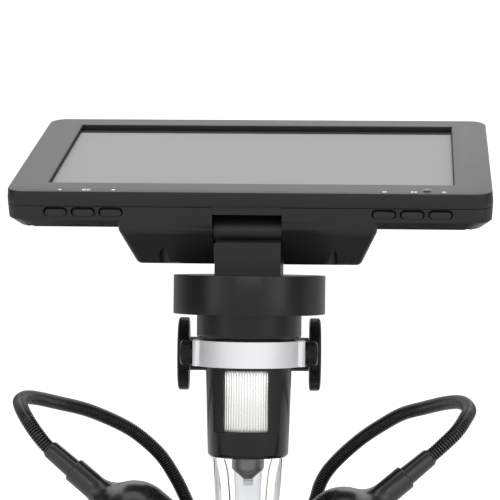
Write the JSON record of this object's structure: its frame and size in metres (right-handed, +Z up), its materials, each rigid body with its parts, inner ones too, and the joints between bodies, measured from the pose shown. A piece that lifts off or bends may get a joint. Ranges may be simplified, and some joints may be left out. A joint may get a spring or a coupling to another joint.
{
  "type": "lcd digital microscope",
  "caption": "Bench microscope with a tilting flat monitor on a clamped optical barrel, a rack and pinion stand and two gooseneck lamps.",
  "frame": {"origin": "where the optical axis meets the underside of the rubber pad", "axes": "+Z up along the optical axis, -Y towards the user, +X to the user's right"},
  "size_m": [0.2, 0.1723, 0.2094],
  "materials": {
    "base_paint": "fine powder coat",
    "pad_rubber": "matt",
    "stage_plastic": "satin white",
    "column_aluminium": "brushed and anodised",
    "cast_black": "satin black",
    "rack_steel": "machined",
    "screw_steel": "blackened",
    "bush_brass": "machined",
    "shaft_steel": "ground",
    "ring_aluminium": "brushed",
    "knob_black": "knurled, satin",
    "barrel_black": "satin black",
    "wheel_silver": "fluted, bright",
    "carrier_grey": "grey",
    "lens_glass": "coated",
    "hood_clear": "clear acrylic",
    "board_green": "solder mask",
    "emitter_white": "clear cap",
    "neck_black": "satin black",
    "case_black": "fine satin texture",
    "screen_glass": "glossy display",
    "tray_steel": "sheet",
    "cell_wrap": "shrink wrap",
    "status_cover": "smoked",
    "port_steel": "plated",
    "gooseneck_black": "ribbed cover",
    "lamp_black": "semi-gloss black",
    "lamp_lens_clear": "frosted"
  },
  "bodies": {
    "stand": {"base_plate": "base_paint", "base_pad": "pad_rubber", "stage_plate": "stage_plastic", "column": "column_aluminium", "column_foot": "cast_black", "column_cap": "cast_black", "rack": "rack_steel", "foot_screws": "screw_steel", "arm_sockets": "cast_black", "lamp_jack": "cast_black"},
    "carriage": {"focus_block": "cast_black", "ring_holder": "ring_aluminium", "flange_screws": "screw_steel", "shaft_bushes": "bush_brass"},
    "focus_knobs": {"pinion_shaft": "shaft_steel", "knob_left": "knob_black", "knob_right": "knob_black"},
    "clamp_left": {"thumb_screw_left": "knob_black"},
    "clamp_right": {"thumb_screw_right": "knob_black"},
    "head": {"hub_shell": "barrel_black", "barrel_shell": "barrel_black", "led_board": "board_green", "leds": "emitter_white", "hood": "hood_clear", "sensor_board": "board_green", "neck": "neck_black", "neck_screws": "screw_steel"},
    "wheel": {"focus_wheel": "wheel_silver"},
    "lens": {"lens_carrier": "carrier_grey", "objective_lens": "lens_glass"},
    "monitor": {"bezel": "case_black", "rear_shell": "case_black", "lcd_panel": "screen_glass", "lcd_tray": "tray_steel", "main_board": "board_green", "battery": "cell_wrap", "hinge_pin": "shaft_steel", "status_lens": "status_cover", "case_screws": "screw_steel", "ports": "port_steel"},
    "arm_left": {"arm_collar_left": "cast_black", "gooseneck_left": "gooseneck_black"},
    "arm_right": {"arm_collar_right": "cast_black", "gooseneck_right": "gooseneck_black"},
    "lamp_left": {"gooseneck_tip_left": "gooseneck_black", "lamp_shell_left": "lamp_black", "lamp_ring_left": "lamp_black", "lamp_lens_left": "lamp_lens_clear", "lamp_led_left": "board_green"},
    "lamp_right": {"gooseneck_tip_right": "gooseneck_black", "lamp_shell_right": "lamp_black", "lamp_ring_right": "lamp_black", "lamp_lens_right": "lamp_lens_clear", "lamp_led_right": "board_green"},
    "key_up": {"button_up": "case_black"},
    "key_ok": {"button_ok": "case_black"},
    "key_down": {"button_down": "case_black"},
    "key_mode": {"button_mode": "case_black"},
    "key_menu": {"button_menu": "case_black"},
    "key_power": {"button_power": "case_black"}
  },
  "joints": [
    {"name": "focus_slide", "type": "slide", "parent": "stand", "child": "carriage", "axis": [0, 0, 1], "range_m": [-0.022, 0.006]},
    {"name": "focus_knob_turn", "type": "hinge", "parent": "carriage", "child": "focus_knobs", "pos_m": [0, 0.0325, 0.1135], "axis": [1, 0, 0], "range_deg": [-72, 263]},
    {"name": "clamp_left_turn", "type": "hinge", "parent": "carriage", "child": "clamp_left", "pos_m": [-0.0216, 0, 0.1155], "axis": [-1, 0, 0], "range_deg": [0, 360]},
    {"name": "clamp_right_turn", "type": "hinge", "parent": "carriage", "child": "clamp_right", "pos_m": [0.0216, 0, 0.1155], "axis": [1, 0, 0], "range_deg": [0, 360]},
    {"name": "head_turn", "type": "hinge", "parent": "carriage", "child": "head", "pos_m": [0, 0, 0.1155], "axis": [0, 0, 1], "range_deg": [-45, 45]},
    {"name": "focus_wheel_turn", "type": "hinge", "parent": "head", "child": "wheel", "pos_m": [0, 0, 0.0969], "axis": [0, 0, 1], "range_deg": [-150, 150]},
    {"name": "lens_slide", "type": "slide", "parent": "head", "child": "lens", "axis": [0, 0, 1], "range_m": [-0.00299, 0.00299]},
    {"name": "screen_tilt", "type": "hinge", "parent": "head", "child": "monitor", "pos_m": [0, 0, 0.162], "axis": [0.9978, -0.0663, 0], "range_deg": [-16, 50]},
    {"name": "arm_left_swivel", "type": "hinge", "parent": "stand", "child": "arm_left", "pos_m": [-0.021, 0.078, 0.0205], "axis": [0, 0, 1], "range_deg": [-38, 1]},
    {"name": "arm_right_swivel", "type": "hinge", "parent": "stand", "child": "arm_right", "pos_m": [0.021, 0.078, 0.0205], "axis": [0, 0, -1], "range_deg": [-38, 1]},
    {"name": "lamp_left_tilt", "type": "hinge", "parent": "arm_left", "child": "lamp_left", "pos_m": [-0.08, -0.007, 0.0835], "axis": [0, -1, 0], "range_deg": [-24, 12], "deforming": ["gooseneck_tip_left"]},
    {"name": "lamp_right_tilt", "type": "hinge", "parent": "arm_right", "child": "lamp_right", "pos_m": [0.074, -0.007, 0.082], "axis": [0, 1, 0], "range_deg": [-24, 12], "deforming": ["gooseneck_tip_right"]},
    {"name": "press_up", "type": "slide", "parent": "monitor", "child": "key_up", "axis": [0.0635, 0.9557, 0.2874], "range_m": [0, 0.0006], "stiffness_N_per_m": 800, "springref_m": -0.001},
    {"name": "press_ok", "type": "slide", "parent": "monitor", "child": "key_ok", "axis": [0.0635, 0.9557, 0.2874], "range_m": [0, 0.0006], "stiffness_N_per_m": 800, "springref_m": -0.001},
    {"name": "press_down", "type": "slide", "parent": "monitor", "child": "key_down", "axis": [0.0635, 0.9557, 0.2874], "range_m": [0, 0.0006], "stiffness_N_per_m": 800, "springref_m": -0.001},
    {"name": "press_mode", "type": "slide", "parent": "monitor", "child": "key_mode", "axis": [0.0635, 0.9557, 0.2874], "range_m": [0, 0.0006], "stiffness_N_per_m": 800, "springref_m": -0.001},
    {"name": "press_menu", "type": "slide", "parent": "monitor", "child": "key_menu", "axis": [0.0635, 0.9557, 0.2874], "range_m": [0, 0.0006], "stiffness_N_per_m": 800, "springref_m": -0.001},
    {"name": "press_power", "type": "slide", "parent": "monitor", "child": "key_power", "axis": [0.0635, 0.9557, 0.2874], "range_m": [0, 0.0006], "stiffness_N_per_m": 800, "springref_m": -0.001}
  ],
  "couplings": [
    {"joint": "focus_knob_turn", "follows": "focus_slide", "rad_per_m": -208.33},
    {"joint": "focus_wheel_turn", "follows": "lens_slide", "rad_per_m": 873.36}
  ]
}
